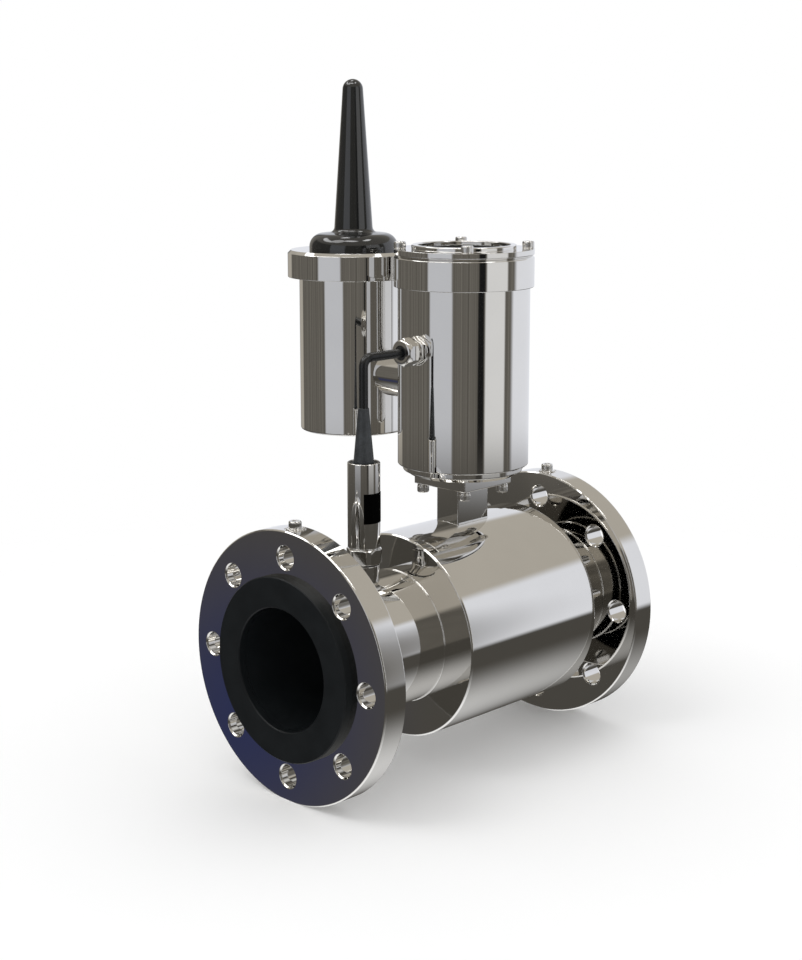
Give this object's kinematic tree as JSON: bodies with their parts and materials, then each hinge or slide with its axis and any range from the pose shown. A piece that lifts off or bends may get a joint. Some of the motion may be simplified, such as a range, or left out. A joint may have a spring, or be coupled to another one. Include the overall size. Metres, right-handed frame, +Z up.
{
  "type": "electromagnetic water meter",
  "caption": "Flanged electromagnetic water meter with a round coil housing, a windowed converter housing on a post, a battery housing with a radio antenna, and a pressure sensor.",
  "frame": {"origin": "centre of the bore, halfway between the two flanges", "axes": "+X along the flow from inlet to outlet, +Z up along the converter's axis, +Y towards the battery housing"},
  "size_m": [0.344, 0.3047, 0.5736],
  "materials": {
    "polished_steel": "mirror polished stainless steel",
    "screw_steel": "bright stainless fastener",
    "black_rubber": "smooth matte",
    "seal_rubber": "matte",
    "boot_rubber": "matte",
    "cable_jacket": "satin",
    "black_gloss": "glossy moulding",
    "black_patch": "plain film",
    "clear_glass": "clear, polished",
    "magnet_steel": "plain",
    "winding": "enamelled copper wire",
    "bobbin_plastic": "satin",
    "electrode_alloy": "satin",
    "board": "solder mask",
    "board_parts": "satin",
    "display_black": "fine grain",
    "lcd": "grey green cell",
    "brass_part": "turned",
    "cell_sleeve": "shrink sleeve",
    "holder_plastic": "satin"
  },
  "bodies": {
    "root": {"inlet_flange": "polished_steel", "outlet_flange": "polished_steel", "measuring_tube": "polished_steel", "liner": "black_rubber", "liner_flares": "black_rubber", "measuring_electrodes": "electrode_alloy", "electrode_insulators": "bobbin_plastic", "electrode_nuts": "screw_steel", "ground_screws": "screw_steel", "ground_washers": "screw_steel", "coil_housing": "polished_steel", "end_plates": "polished_steel", "pole_pieces": "magnet_steel", "coil_bobbins": "bobbin_plastic", "field_coils": "winding", "flux_ring": "magnet_steel", "post": "polished_steel", "mounting_plate": "polished_steel", "plate_screws": "screw_steel", "plate_lock_washers": "screw_steel", "converter_housing": "polished_steel", "converter_collar": "polished_steel", "lid_seal": "seal_rubber", "lid_ring": "polished_steel", "lid_screws": "screw_steel", "window": "clear_glass", "window_gasket": "seal_rubber", "window_retainer": "brass_part", "board_standoffs": "brass_part", "power_board": "board", "power_board_parts": "board_parts", "main_board": "board", "main_board_chips": "board_parts", "display_board": "board", "lcd_panel": "lcd", "display_mask": "display_black", "bridge_tube": "polished_steel", "battery_housing": "polished_steel", "battery_cap": "polished_steel", "cap_seal": "seal_rubber", "battery_cells": "cell_sleeve", "cell_holders": "holder_plastic", "modem_board": "board", "antenna_radome": "black_gloss", "radome_seal": "seal_rubber", "antenna_hub": "brass_part", "hub_nut": "brass_part", "antenna_rod": "brass_part", "sensor_boss": "polished_steel", "sensor_seal": "seal_rubber", "sensor_fitting": "polished_steel", "sensor_housing": "polished_steel", "sensor_patch": "black_patch", "cable_boot": "boot_rubber", "sensor_cable": "cable_jacket", "gland_body": "polished_steel", "gland_nut": "polished_steel", "gland_seal": "seal_rubber", "gland_locknut": "brass_part"}
  },
  "joints": []
}
